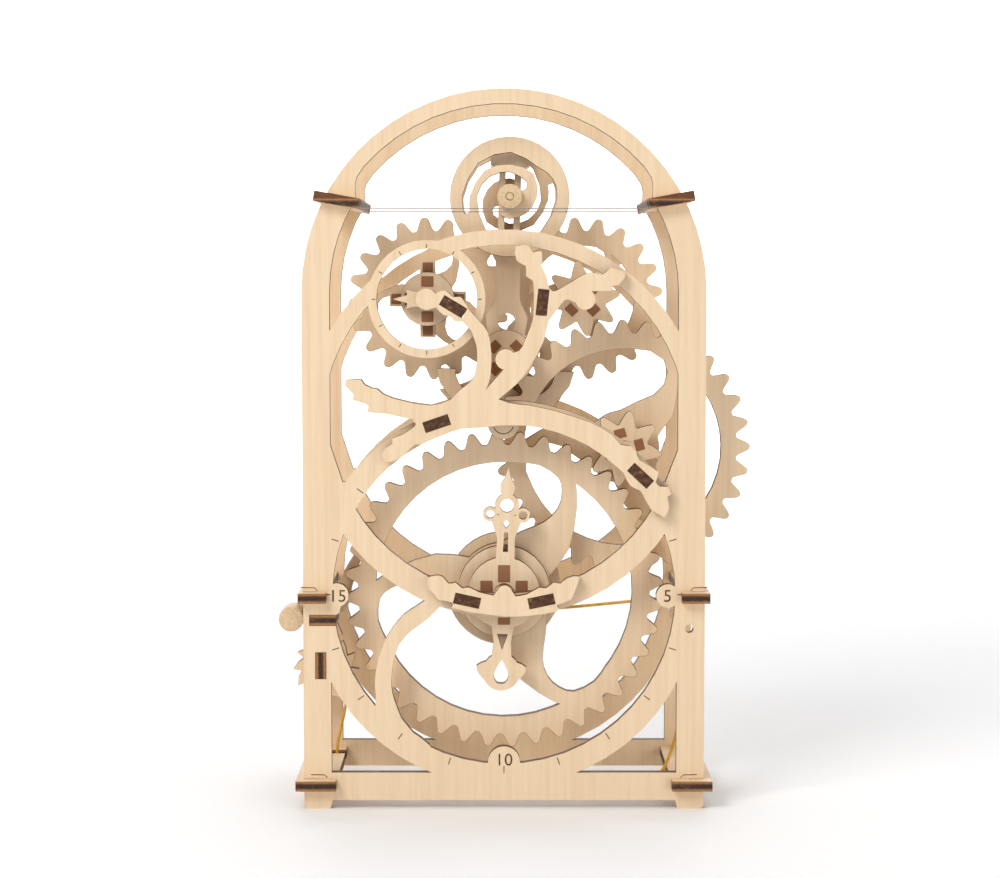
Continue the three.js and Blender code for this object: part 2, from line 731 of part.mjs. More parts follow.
const anchorOutline = [
  [-24.9, -4.8], [-23.4, -10], [-18, -17.1], [-8, -23], [0, -24.4], [8, -23], [18, -17.1],
  [23.4, -10], [24.9, -4.8],
];
const anchorCutouts = [-9.2, 9.2].map((x) => disc([x, -5.4], 8.6));

const anchorPlate = wheel(disc([0, 0], 7), level(6)).add(cut(
  join(
    cut(plate(anchorOutline, level(6)),
      ...anchorCutouts.map((points) => through(points, level(6)))),
    plate(rectangle([0, -11], 5, 12), level(6)),
  ),
  through(disc([0, 0], 6), level(6)),
));

// The pallets stand clear of the wheels at rest and dip into them as the pendulum swings.
const palletReach = gearModule * escapeTooth.addendum + pitchRadius(escapeTeeth) + 0.4;
const palletClear = pitchRadius(escapeTeeth) + 5.5;
const palletWidth = 2.6;
const pallets = [
  { wheelCentre: secondsCentre, angle: -77.5 },
  { wheelCentre: upperCentre, angle: -111.5 },
];
const palletOutline = [
  [-24.2, -3.4], [-24, -12], [-18, -19], [-8, -23.6], [0, -24.6], [8, -23.6], [18, -19],
  [21.6, -12], [22, -3.4],
];

function palletPlate() {
  const local = ([x, z]) => [x - pendulumCentre[0], z - pendulumCentre[1]];
  const clears = pallets.map(({ wheelCentre }) =>
    through(disc(local(wheelCentre), palletClear), level(7)));
  const tips = pallets.map(({ wheelCentre, angle }) => {
    const middle = along(local(wheelCentre), angle, palletReach + 4);
    return plate(rectangle(middle, palletWidth, 8, angle + 90), level(7));
  });
  const ends = block([-40, level(7) - 1, -3.4], [40, level(7) + ply + 1, 40]);
  return join(cut(plate(palletOutline, level(7)), ends, ...clears), ...tips);
}

const swing = (...meshes) => assembly(pendulumCentre, restTilt, ...meshes);
const uprightPallets = assembly(pendulumCentre, 0, piece('pallet_plate', palletPlate()));
const pendulum = swing(
  piece('pendulum_disc', wheel(disc([0, 0], 9.9), level(3))),
  piece('pendulum_rod', rodPlate(level(4))),
  piece('anchor_plate', anchorPlate),
  piece('pendulum_rod_rear', rodPlate(level(8))),
  piece('pendulum_axle', axle(), dowelLook),
);

// One slot winds twice round the hub, so the weight is a flat ring on a springy arm.
const slotOuter = [
  [17, 202], [16.7, 180], [16.2, 135], [15.6, 90], [14.6, 45], [16.3, 25], [16.7, 0],
  [16.3, -45], [15.4, -90], [14, -126], [11.5, -180], [9.9, -225], [8.7, -270], [8, -315],
];
const slotInner = [
  [4.4, -325], [3.7, -300], [3.55, -270], [3.55, -180], [4.6, -150], [6.7, -120], [7.7, -90],
  [8.2, -45], [9.6, 0], [11.7, 45], [11.4, 90], [12.8, 135], [14.1, 180], [14.9, 202],
];
const spiralSlot = [
  ...curve(fromPolar(slotOuter)),
  ...curve(fromPolar([[7.2, -326], [5.9, -333], [4.9, -331]]), 1),
  ...curve(fromPolar(slotInner)),
];

function spiral(front, turn) {
  return cut(
    plate(disc([0, 0], weightRadius), front),
    through(turned(spiralSlot, turn), front),
    through(disc([0, 0], weightAxleRadius + hubClearance), front),
  );
}

function knob(front) {
  return cut(
    plate(disc([0, 0], knobRadius), front),
    through(disc([0, 0], weightAxleRadius + hubClearance), front),
  );
}

const weight = assembly(
  along(pendulumCentre, 90 - restTilt, weightHeight),
  restTilt,
  piece('weight_knob_front', knob(level(2)), dowelLook),
  piece('spiral_front', spiral(level(3), 0)),
  piece('spiral_rear', spiral(level(9), 180)),
  piece('weight_knob_rear', knob(level(10)), dowelLook),
  piece('weight_axle', rod([0, 0], weightAxleRadius, level(2) + 0.2, level(11)), dowelLook),
);

// ---------------------------------------------------------------- stop lever

const leverArm = [
  ...curve([[-15.6, -6.4], [-10, -5.6], [-3, -4.4], [3, -4], [5.2, 0], [6, 5], [9.6, 15.6]]),
  ...curve([[7, 16.8], [3.4, 11], [0.6, 4.4], [-2.4, 1], [-8, -1.6], [-15.6, -1.8]]),
];
const leverKnobPlace = [-14.7, -4.9];
const leverKnobHeight = 11.7;
const lever = assembly(
  leverPivot,
  0,
  piece('stop_lever', cut(
    plate(leverArm, level(4) + 0.2),
    through(disc([0, 0], leverPinRadius + hubClearance), level(4) + 0.2),
  )),
  piece('lever_knob', rod(
    leverKnobPlace, knobRadius, level(4) - 0.2 - leverKnobHeight, level(4) - 0.2), dowelLook),
);

// ---------------------------------------------------------------- winding ratchet

function ratchetOutline() {
  const points = [];
  for (let i = 0; i < ratchetTeeth; i += 1) {
    const start = (360 / ratchetTeeth) * i;
    points.push(along([0, 0], start, ratchetRadius));
    points.push(along([0, 0], start + 3, ratchetRadius - 3));
    points.push(along([0, 0], start + 16, ratchetRadius - 1.6));
  }
  return points;
}

const ratchetFront = 40;
const spoolBack = 50;
const shaftFront = 34;
const shaftBack = backFront + ply + 8.4;
const ratchetShaft = join(
  rod([0, 0], axleRadius, shaftFront, shaftBack),
  cut(
    rod([0, 0], spoolRadius, ratchetFront + ply + 0.4, spoolBack),
    rod([0, 0], axleRadius - 0.2, shaftFront, spoolBack + 1),
  ),
);
const keyFront = backFront + ply + 1.4;
const keyOutline = [
  ...arc([0, keyLength / 2 - 6], 6, -40, 220),
  ...arc([0, -keyLength / 2 + 6], 6, 140, 400),
];
const ratchet = assembly(
  ratchetCentre,
  0,
  piece('ratchet_wheel', wheel(ratchetOutline(), ratchetFront)),
  piece('ratchet_shaft', ratchetShaft, dowelLook),
  piece('winding_key', wheel(keyOutline, keyFront)),
);

const pawlOutline = [
  ...arc([0, 0], 3.2, -20, 200),
  [-1.4, -3.4],
  [3.8, -9.3],
  [6, -8.6],
];
const pawl = assembly(
  pawlPivot,
  0,
  piece('pawl', wheel(pawlOutline, ratchetFront)),
);
const pawlPin = rod(pawlPivot, axleRadius, ratchetFront - 3, backFront + ply);

// ---------------------------------------------------------------- fixed trim and the band

function tenonPlate({ x, z }, front, back) {
  return block([x[0], front, z[0]], [x[1], back, z[1]]);
}

const stopTab = { centre: [-0.2, 136], radius: 5.6 };
const guideRadius = 4;
const bandGuide = join(
  rod(guidePin, guideRadius, 23, 31),
  rod(guidePin, axleRadius, 23, backFront + ply),
);

const bandRoute = [
  [0, 28, mainCentre[1] - drumRadius - bandRadius - 0.3],
  [20.6, 28, 67.3], [guidePin[0] - 6, 28, 70.9], [guidePin[0], 28, 71.4],
  [guidePin[0] + 3.9, 27.6, 69.8], [guidePin[0] + 5.4, 27, 66], [guidePin[0] + 3.6, 23, 52],
  [guidePin[0] - 1, 15, 28], [57.4, 9, 13], [52, 7.6, 6.6], [40, 8, 5.4], [0, 8, 5.4],
  [-45, 9, 5.2], [-54, 20, 4.4], [-59, 34, 4.2], [-62.2, 44.8, 5], [-62.4, 46, 9],
  [-62, 46, 14], [ratchetCentre[0] + 5.45, 46, 22], [ratchetCentre[0] + 7.05, 46, 30],
  [ratchetCentre[0] + 7.75, 46, 36],
  [ratchetCentre[0] + spoolRadius + bandRadius + 0.3, 46, 42.7],
];

// ---------------------------------------------------------------- the whole timer

const timer = new THREE.Group();
timer.add(
  piece('front_panel', frontPanel),
  piece('back_panel', backPanel),
  piece('tree_overlay', overlay),
  piece('lower_bridge', bridge),
  ...ties,
  piece('thread_upper', thread(archCentreZ + 29.2), { color: 0x4a3a30 }),
  piece('thread_lower', thread(archCentreZ + 28.1), { color: 0x4a3a30 }),
  ...treeKeys.map((key, i) => piece(`overlay_key_${i + 1}`, keyPlate(key), edgeLook)),
  ...bridgeKeys.map((key, i) => piece(`bridge_key_${i + 1}`, keyPlate(key), edgeLook)),
  piece('lever_bracket', tenonPlate(bracketTenon, -faceGap, level(4) - 0.4), edgeLook),
  piece('lever_pin', rod(leverPivot, leverPinRadius, ply + faceGap, 24), dowelLook),
  piece('ratchet_bracket', tenonPlate(ratchetTenon, -faceGap, shaftFront - airGap), edgeLook),
  piece('stop_tab', cut(
    plate(disc(stopTab.centre, stopTab.radius), ply + faceGap),
    through(disc(pendulumCentre, axleRadius + fit), ply + faceGap),
  )),
  piece('pawl_pin', pawlPin, dowelLook),
  piece('band_guide', bandGuide, dowelLook),
  piece('rubber_band', tube(bandRoute, bandRadius, 56), { color: 0xc9962a, roughness: 0.45 }),
  mainArbor,
  pointerTurned,
  relayArbor,
  upperArbor,
  secondsArbor,
  pendulum,
  uprightPallets,
  weight,
  lever,
  ratchet,
  pawl,
);

const bounds = new THREE.Box3().setFromObject(timer);
timer.position.y = -(bounds.min.y + bounds.max.y) / 2;
timer.position.x = -(bounds.min.x + bounds.max.x) / 2;

const group = new THREE.Group();
group.add(timer);

export default group;
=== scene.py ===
"""A press-together plywood timer: laser-cut sheets, dowels, an elastic band and two threads.

Everything is in metres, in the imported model's own frame. The turned and cut parts come from
the frame; this script gives them their wood, their burnt edges and their engraving, and adds
the square tenons that lock the wheels' layers together.
"""

import json
import math

import bpy
from mathutils import Matrix, Vector


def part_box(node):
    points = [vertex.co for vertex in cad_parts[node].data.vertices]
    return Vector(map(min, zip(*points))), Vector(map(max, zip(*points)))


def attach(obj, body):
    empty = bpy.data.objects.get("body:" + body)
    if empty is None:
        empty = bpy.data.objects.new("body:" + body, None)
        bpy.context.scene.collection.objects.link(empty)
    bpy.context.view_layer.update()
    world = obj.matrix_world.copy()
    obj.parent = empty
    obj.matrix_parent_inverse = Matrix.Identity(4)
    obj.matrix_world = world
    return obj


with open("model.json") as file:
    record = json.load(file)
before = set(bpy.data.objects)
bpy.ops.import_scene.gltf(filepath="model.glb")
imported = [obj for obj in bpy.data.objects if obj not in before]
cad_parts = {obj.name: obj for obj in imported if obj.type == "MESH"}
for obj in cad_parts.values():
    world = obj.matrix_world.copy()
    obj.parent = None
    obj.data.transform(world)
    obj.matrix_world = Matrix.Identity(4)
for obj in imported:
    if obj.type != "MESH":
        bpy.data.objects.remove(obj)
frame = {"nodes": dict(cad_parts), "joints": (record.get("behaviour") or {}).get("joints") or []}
nodes = frame["nodes"]
joints = {joint["name"]: joint for joint in frame["joints"]}
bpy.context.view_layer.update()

MM = 0.001
PANEL_LOW, PANEL_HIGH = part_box("front_panel")
FACE = PANEL_LOW.y  # front face of the front panel
PLY = PANEL_HIGH.y - PANEL_LOW.y
EDGE_ROUNDING = 0.13 * MM
ENGRAVING_LIFT = 0.03 * MM


def centre_of(joint):
    x, _, z = joints[joint]["pos_m"]
    return Vector((x, 0, z))


MAIN = centre_of("main_spin")
RELAY = centre_of("relay_spin")
UPPER = centre_of("upper_spin")
SECONDS = centre_of("seconds_spin")
PENDULUM = centre_of("pendulum_swing")
MIDDLE = (PANEL_LOW.x + PANEL_HIGH.x) / 2

# ------------------------------------------------------------------ camera and studio


CAMERA_LENS_MM = 80.1
CAMERA_LEFT_OF_MIDDLE = 1.4 * MM
CAMERA_DISTANCE = 0.775  # from the front face
CAMERA_HEIGHT = 0.186
CAMERA_LOOKS_DOWN = 4.07  # degrees


def add_camera():
    lens = bpy.data.cameras.new("camera")
    lens.lens = CAMERA_LENS_MM
    lens.sensor_width = 36
    lens.clip_start = 0.02
    lens.clip_end = 20
    camera = bpy.data.objects.new("camera", lens)
    camera.location = (MIDDLE - CAMERA_LEFT_OF_MIDDLE, FACE - CAMERA_DISTANCE, CAMERA_HEIGHT)
    camera.rotation_euler = (math.radians(90 - CAMERA_LOOKS_DOWN), 0, 0)
    bpy.context.scene.collection.objects.link(camera)
    bpy.context.scene.camera = camera


def soft_light(name, place, target, size, power, colour=(1, 1, 1)):
    lamp = bpy.data.lights.new(name, "AREA")
    lamp.shape = "RECTANGLE"
    lamp.size, lamp.size_y = size
    lamp.energy = power
    lamp.color = colour
    lamp_object = bpy.data.objects.new(name, lamp)
    lamp_object.location = place
    aim = Vector(target) - Vector(place)
    lamp_object.rotation_euler = aim.to_track_quat("-Z", "Y").to_euler()
    bpy.context.scene.collection.objects.link(lamp_object)


def add_studio():
    world = bpy.data.worlds.new("studio")
    world.use_nodes = True
    sky = world.node_tree.nodes["Background"]
    sky.inputs["Color"].default_value = (1, 1, 1, 1)
    sky.inputs["Strength"].default_value = 0.36
    bpy.context.scene.world = world
    bpy.context.scene.view_settings.view_transform = "Standard"
    middle = (0, 0, 0.12)
    soft_light("key", (-0.75, -1.0, 1.15), middle, (0.7, 0.7), 14, (1, 0.985, 0.96))
    soft_light("fill", (1.1, -1.1, 0.5), middle, (1.2, 1.0), 3.6)
    soft_light("top", (0.1, 0.2, 1.4), middle, (1.2, 1.0), 6)
    soft_light("backdrop_light", (0, 1.6, 1.3), (0, 2.6, 0.3), (2.4, 1.2), 38)


def add_floor():
    """A pale sheet that runs flat under the timer and sweeps up far behind it."""
    half_width, front, run, bend, rise, steps = 4.0, -2.2, 1.6, 0.6, 2.6, 12
    profile = [(front, 0.0), (run, 0.0)]
    for step in range(1, steps + 1):
        turn = math.radians(90) * step / steps
        profile.append((run + bend * math.sin(turn), bend * (1 - math.cos(turn))))
    profile.append((run + bend, rise))
    vertices = [(side * half_width, y, z) for y, z in profile for side in (-1, 1)]
    faces = [(2 * i, 2 * i + 1, 2 * i + 3, 2 * i + 2) for i in range(len(profile) - 1)]
    mesh = bpy.data.meshes.new("floor")
    mesh.from_pydata(vertices, [], faces)
    for face in mesh.polygons:
        face.use_smooth = True
    floor = bpy.data.objects.new("floor", mesh)
    bpy.context.scene.collection.objects.link(floor)
    paper = bpy.data.materials.new("studio_paper")
    paper.use_nodes = True
    shader = paper.node_tree.nodes["Principled BSDF"]
    shader.inputs["Base Color"].default_value = (0.93, 0.93, 0.935, 1)
    shader.inputs["Roughness"].default_value = 0.75
    mesh.materials.append(paper)


# ------------------------------------------------------------------ materials


class Nodes:
    """Builds one material's node tree with short calls."""

    def __init__(self, name):
        self.material = bpy.data.materials.new(name)
        self.material.use_nodes = True
        self.tree = self.material.node_tree
        self.shader = self.tree.nodes["Principled BSDF"]

    def add(self, kind, **settings):
        node = self.tree.nodes.new(kind)
        for key, value in settings.items():
            setattr(node, key, value)
        return node

    def link(self, source, target):
        self.tree.links.new(source, target)
        return target

    def stretched(self, scale, place=(0, 0, 0)):
        """Object coordinates squeezed along each axis; a small scale draws the grain out."""
        where = self.add("ShaderNodeTexCoord")
        mapping = self.add("ShaderNodeMapping", vector_type="POINT")
        mapping.inputs["Scale"].default_value = scale
        mapping.inputs["Location"].default_value = place
        self.link(where.outputs["Object"], mapping.inputs["Vector"])
        return mapping.outputs["Vector"]

    def noise(self, vector, scale=1.0, detail=4.0, roughness=0.6, distortion=0.0):
        texture = self.add("ShaderNodeTexNoise")
        texture.inputs["Scale"].default_value = scale
        texture.inputs["Detail"].default_value = detail
        texture.inputs["Roughness"].default_value = roughness
        texture.inputs["Distortion"].default_value = distortion
        self.link(vector, texture.inputs["Vector"])
        return texture.outputs["Fac"]

    def ramp(self, factor, stops):
        node = self.add("ShaderNodeValToRGB")
        elements = node.color_ramp.elements
        while len(elements) < len(stops):
            elements.new(0.5)
        for element, (position, colour) in zip(elements, stops):
            element.position = position
            element.color = (*colour, 1)
        self.link(factor, node.inputs["Fac"])
        return node.outputs["Color"]

    def mix(self, factor, first, second, blend="MIX"):
        node = self.add("ShaderNodeMix", data_type="RGBA", blend_type=blend)
        for socket, value in ((0, factor), (6, first), (7, second)):
            if isinstance(value, bpy.types.NodeSocket):
                self.link(value, node.inputs[socket])
            elif socket:
                node.inputs[socket].default_value = (*value, 1)
            else:
                node.inputs[socket].default_value = value
        return node.outputs[2]

    def math(self, operation, first, second=0.0):
        node = self.add("ShaderNodeMath", operation=operation)
        for socket, value in zip(node.inputs, (first, second)):
            if isinstance(value, bpy.types.NodeSocket):
                self.link(value, socket)
            else:
                socket.default_value = value
        return node.outputs["Value"]

    def smoothstep(self, value, low, high):
        node = self.add("ShaderNodeMapRange", interpolation_type="SMOOTHSTEP")
        node.inputs["From Min"].default_value = low
        node.inputs["From Max"].default_value = high
        self.link(value, node.inputs["Value"])
        return node.outputs["Result"]

    def bump(self, height, strength, distance):
        node = self.add("ShaderNodeBump")
        node.inputs["Strength"].default_value = strength
        node.inputs["Distance"].default_value = distance
        self.link(height, node.inputs["Height"])
        self.link(node.outputs["Normal"], self.shader.inputs["Normal"])

    def finish(self, colour, roughness=None):
        self.link(colour, self.shader.inputs["Base Color"])
        if roughness is not None:
            self.link(roughness, self.shader.inputs["Roughness"])
        return self.material


BIRCH_PALE = (0.86, 0.66, 0.44)
BIRCH_MID = (0.8, 0.585, 0.37)
BIRCH_FIBRE = (0.68, 0.46, 0.27)
BIRCH_LIGHT = (0.875, 0.695, 0.485)
CHAR = (0.026, 0.009, 0.003)
SCORCH = (0.13, 0.045, 0.012)
AMBER = (0.42, 0.2, 0.06)


def birch_ply(name, across, first_face, grain="Z"):
    """Birch sheet: pale grained faces, and laser-burnt edges that show the three plies.

    across is the axis through the sheet's thickness (0, 1 or 2) and first_face its low side.
    """
    build = Nodes(name)
    long, short = 14.0, 420.0
    grain_axis = "XYZ".index(grain)
    squeeze = tuple(long if axis == grain_axis else short for axis in range(3))
    fine = tuple(5 * value for value in squeeze)
    figure = build.noise(build.stretched(squeeze, (first_face * 90, 0.3, 1.7)), 1, 5, 0.55, 0.4)
    fibre = build.noise(build.stretched(fine), 1, 3, 0.7)
    clouds = build.noise(build.stretched((14, 14, 9), (first_face * 300, 2, 5)), 1, 3)
    face = build.ramp(figure, [(0.28, BIRCH_MID), (0.55, BIRCH_PALE), (0.8, BIRCH_LIGHT)])
    face = build.mix(build.math("MULTIPLY", build.smoothstep(fibre, 0.52, 0.78), 0.35),
                     face, BIRCH_FIBRE)
    face = build.mix(build.math("MULTIPLY", build.smoothstep(clouds, 0.45, 0.75), 0.3),
                     face, (0.82, 0.6, 0.385))

    where = build.add("ShaderNodeTexCoord")
    parts = build.add("ShaderNodeSeparateXYZ")
    build.link(where.outputs["Object"], parts.inputs["Vector"])
    height = build.math("SUBTRACT", parts.outputs[across], first_face)
    share = build.math("DIVIDE", height, PLY)
    ripple = build.noise(build.stretched((900, 900, 900)), 1, 3)
    wobble = build.math("MULTIPLY", build.math("SUBTRACT", ripple, 0.5), 0.16)
    share = build.math("ADD", share, wobble)
    edge = build.ramp(share, [
        (0.0, SCORCH), (0.12, AMBER), (0.27, SCORCH), (0.36, CHAR), (0.62, CHAR),
        (0.74, SCORCH), (0.9, AMBER), (1.0, SCORCH),
    ])
    streaks = build.noise(build.stretched((260, 260, 260), (1, first_face * 50, 2)), 1, 4)
    edge = build.mix(build.math("MULTIPLY", build.smoothstep(streaks, 0.5, 0.85), 0.5),
                     edge, (0.36, 0.17, 0.055))

    geometry = build.add("ShaderNodeNewGeometry")
    facing = build.add("ShaderNodeSeparateXYZ")
    build.link(geometry.outputs["Normal"], facing.inputs["Vector"])
    flatness = build.math("ABSOLUTE", facing.outputs[across])
    is_face = build.smoothstep(flatness, 0.8, 0.97)
    build.bump(build.math("ADD", fibre, figure), 0.12, 0.0002)
    roughness = build.math("ADD", 0.52, build.math("MULTIPLY", fibre, 0.16))
    return build.finish(build.mix(is_face, edge, face), roughness)


def burnt_tenon():
    """End of a key: burnt ply with paler fibre that the laser left standing."""
    build = Nodes("burnt_tenon")
    soot = build.noise(build.stretched((700, 700, 700)), 1, 5, 0.7)
    colour = build.ramp(soot, [(0.3, CHAR), (0.46, (0.06, 0.02, 0.006)), (0.6, SCORCH),
                               (0.72, AMBER), (0.85, (0.62, 0.38, 0.17))])
    build.bump(soot, 0.3, 0.0002)
    build.shader.inputs["Roughness"].default_value = 0.7
    return build.finish(colour)


def turned_dowel():
    build = Nodes("turned_dowel")
    fibre = build.noise(build.stretched((1500, 60, 1500)), 1, 4, 0.65)
    colour = build.ramp(fibre, [(0.3, (0.62, 0.42, 0.23)), (0.55, (0.78, 0.58, 0.35)),
                                (0.8, (0.84, 0.65, 0.42))])
    build.bump(fibre, 0.15, 0.0001)
    build.shader.inputs["Roughness"].default_value = 0.5
    return build.finish(colour)


def elastic_band():
    build = Nodes("elastic_band")
    dust = build.noise(build.stretched((400, 400, 400)), 1, 4)
    colour = build.ramp(dust, [(0.3, (0.62, 0.33, 0.02)), (0.7, (0.78, 0.46, 0.05))])
    build.shader.inputs["Roughness"].default_value = 0.42
    build.shader.inputs["Subsurface Weight"].default_value = 0.1
    build.shader.inputs["Subsurface Radius"].default_value = (0.001, 0.0006, 0.0002)
    build.bump(dust, 0.1, 0.0001)
    return build.finish(colour)


def waxed_thread():
    build = Nodes("waxed_thread")
    twist = build.add("ShaderNodeTexWave", bands_direction="X")
    twist.inputs["Scale"].default_value = 900
    where = build.add("ShaderNodeTexCoord")
    build.link(where.outputs["Object"], twist.inputs["Vector"])
    colour = build.ramp(twist.outputs["Fac"],
                        [(0.2, (0.2, 0.16, 0.12)), (0.8, (0.5, 0.44, 0.36))])
    build.shader.inputs["Roughness"].default_value = 0.6
    return build.finish(colour)


def laser_line():
    """The brown groove that a light laser pass leaves on a face."""
    build = Nodes("laser_line")
    depth = build.noise(build.stretched((1200, 1200, 1200)), 1, 3)
    colour = build.ramp(depth, [(0.3, (0.035, 0.013, 0.005)), (0.75, (0.16, 0.07, 0.025))])
    build.shader.inputs["Roughness"].default_value = 0.8
    return build.finish(colour)


SHEETS_ACROSS_Z = [name for name in nodes if name.startswith("tie_")] + ["lever_bracket"]
SHEETS_ACROSS_X = ["ratchet_bracket"]
DOWELS = [
    "lever_pin", "pawl_pin", "main_axle", "relay_axle", "upper_axle", "seconds_axle",
    "pendulum_axle", "weight_axle", "ratchet_shaft", "band_guide", "weight_knob_front",
    "weight_knob_rear", "lever_knob",
]
LOCK_KEYS = [name for name in nodes if "_key_" in name]


def dress(node, material):
    piece = nodes[node]
    piece.data.materials.clear()
    piece.data.materials.append(material)


def round_edges(node, width):
    """Merges the loose triangles, then takes the sharpness off every cut edge."""
    piece = nodes[node]
    for face in piece.data.polygons:
        face.use_smooth = True
    weld = piece.modifiers.new("weld", "WELD")
    weld.merge_threshold = 0.002 * MM
    bevel = piece.modifiers.new("rounding", "BEVEL")
    bevel.width = width
    bevel.segments = 1
    bevel.limit_method = "ANGLE"
    bevel.angle_limit = math.radians(42)
    bevel.harden_normals = True
    bevel.use_clamp_overlap = True
    normals = piece.modifiers.new("normals", "WEIGHTED_NORMAL")
    normals.keep_sharp = False
    normals.weight = 100


def sheet_material(name, sheets):
    """The birch of the layer that a sheet lies in; pieces in one layer share it."""
    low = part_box(name)[0]
    if name.startswith("tie_top"):
        if "tie_top" not in sheets:
            sheets["tie_top"] = birch_ply("birch_tie_top", 2, low.z, "Y")
        return sheets["tie_top"]
    across = 2 if name in SHEETS_ACROSS_Z else 0 if name in SHEETS_ACROSS_X else 1
    layer = (across, round(low[across], 4))
    if layer not in sheets:
        label = f"birch_ply_{'xyz'[across]}_{len(sheets):02d}"
        sheets[layer] = birch_ply(label, across, low[across], "Z" if across == 1 else "Y")
    return sheets[layer]


def dress_all():
    """Gives every piece its material, and rounds the edges of all but the band and threads."""
    tenon, dowel, sheets = burnt_tenon(), turned_dowel(), {}
    soft = {"rubber_band": elastic_band()}
    soft["thread_upper"] = soft["thread_lower"] = waxed_thread()
    for name in nodes:
        if name in soft:
            dress(name, soft[name])
            continue
        if name in DOWELS:
            dress(name, dowel)
        elif name in LOCK_KEYS:
            dress(name, tenon)
        else:
            dress(name, sheet_material(name, sheets))
        round_edges(name, EDGE_ROUNDING)


# ------------------------------------------------------------------ engraving and tenons


def set_input(modifier, tree, name, value):
    for item in tree.interface.items_tree:
        if item.item_type == "SOCKET" and item.in_out == "INPUT" and item.name == name:
            modifier[item.identifier] = value


def ring_tree():
    """Geometry Nodes: small boxes on a ring in the XZ plane, each pointing at its centre."""
    tree = bpy.data.node_groups.new("blocks_on_a_ring", "GeometryNodeTree")
    face = tree.interface
    face.new_socket("Geometry", in_out="INPUT", socket_type="NodeSocketGeometry")
    for name, kind in (
        ("Count", "NodeSocketInt"), ("Radius", "NodeSocketFloat"), ("Start", "NodeSocketFloat"),
        ("Size", "NodeSocketVector"), ("Centre", "NodeSocketVector"),
        ("Material", "NodeSocketMaterial"),
    ):
        face.new_socket(name, in_out="INPUT", socket_type=kind)
    face.new_socket("Geometry", in_out="OUTPUT", socket_type="NodeSocketGeometry")

    def add(kind, **settings):
        node = tree.nodes.new(kind)
        for key, value in settings.items():
            setattr(node, key, value)
        return node

    def math_node(operation, first, second):
        node = add("ShaderNodeMath", operation=operation)
        for socket, value in zip(node.inputs, (first, second)):
            if isinstance(value, bpy.types.NodeSocket):
                tree.links.new(value, socket)
            else:
                socket.default_value = value
        return node.outputs[0]

    given = add("NodeGroupInput").outputs
    line = add("GeometryNodeMeshLine", mode="OFFSET")
    tree.links.new(given["Count"], line.inputs["Count"])
    index = add("GeometryNodeInputIndex").outputs[0]
    step = math_node("DIVIDE", math.tau, given["Count"])
    angle = math_node("ADD", math_node("MULTIPLY", index, step), given["Start"])
    place = add("ShaderNodeCombineXYZ")
    tree.links.new(math_node("MULTIPLY", math_node("COSINE", angle, 0), given["Radius"]),
                   place.inputs["X"])
    tree.links.new(math_node("MULTIPLY", math_node("SINE", angle, 0), given["Radius"]),
                   place.inputs["Z"])
    shift = add("ShaderNodeVectorMath", operation="ADD")
    tree.links.new(place.outputs[0], shift.inputs[0])
    tree.links.new(given["Centre"], shift.inputs[1])
    spread = add("GeometryNodeSetPosition")
    tree.links.new(line.outputs[0], spread.inputs["Geometry"])
    tree.links.new(shift.outputs[0], spread.inputs["Position"])
    cube = add("GeometryNodeMeshCube")
    tree.links.new(given["Size"], cube.inputs["Size"])
    lean = add("ShaderNodeCombineXYZ")
    tree.links.new(math_node("MULTIPLY", angle, -1.0), lean.inputs["Y"])
    copies = add("GeometryNodeInstanceOnPoints")
    tree.links.new(spread.outputs[0], copies.inputs["Points"])
    tree.links.new(cube.outputs[0], copies.inputs["Instance"])
    tree.links.new(lean.outputs[0], copies.inputs["Rotation"])
    real = add("GeometryNodeRealizeInstances")
    tree.links.new(copies.outputs[0], real.inputs[0])
    paint = add("GeometryNodeSetMaterial")
    tree.links.new(real.outputs[0], paint.inputs["Geometry"])
    tree.links.new(given["Material"], paint.inputs["Material"])
    tree.links.new(paint.outputs[0], add("NodeGroupOutput").inputs[0])
    return tree


def blocks_on_ring(tree, name, body, centre, material, size, count, radius, start,
                   rounding=0.0):
    """One mesh of blocks set round a ring; start is the first block's angle in degrees."""
    mesh = bpy.data.meshes.new(name)
    seed = bpy.data.objects.new(name + "_seed", mesh)
    bpy.context.scene.collection.objects.link(seed)
    modifier = seed.modifiers.new("ring", "NODES")
    modifier.node_group = tree
    for key, value in (
        ("Count", count), ("Radius", radius), ("Start", math.radians(start)), ("Size", size),
        ("Centre", centre), ("Material", material),
    ):
        set_input(modifier, tree, key, value)
    bpy.context.view_layer.update()
    shaped = seed.evaluated_get(bpy.context.evaluated_depsgraph_get())
    result = bpy.data.meshes.new_from_object(shaped)
    bpy.data.objects.remove(seed)
    result.name = name
    piece = bpy.data.objects.new(name, result)
    bpy.context.scene.collection.objects.link(piece)
    if rounding:
        bevel = piece.modifiers.new("rounding", "BEVEL")
        bevel.width = rounding
        bevel.segments = 1
    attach(piece, body)


def flat_stroke(name, body, points, width, y, material):
    """A thin engraved line through plan points, lying on a face that looks to -Y."""
    vertices, faces = [], []
    count = len(points)
    for i, (x, z) in enumerate(points):
        before = points[max(0, i - 1)]
        after = points[min(count - 1, i + 1)]
        run = Vector((after[0] - before[0], after[1] - before[1])).normalized()
        side = Vector((-run.y, run.x)) * width / 2
        for sign in (-1, 1):
            vertices.append((x + sign * side.x, y, z + sign * side.y))
    for i in range(count - 1):
        faces.append((2 * i, 2 * i + 2, 2 * i + 3, 2 * i + 1))
    mesh = bpy.data.meshes.new(name)
    mesh.from_pydata(vertices, [], faces)
    mesh.materials.append(material)
    piece = bpy.data.objects.new(name, mesh)
    bpy.context.scene.collection.objects.link(piece)
    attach(piece, body)


def arc_points(centre, radius, start, end, count):
    points = []
    for i in range(count + 1):
        angle = math.radians(start + (end - start) * i / count)
        points.append((centre.x + radius * math.cos(angle), centre.z + radius * math.sin(angle)))
    return points


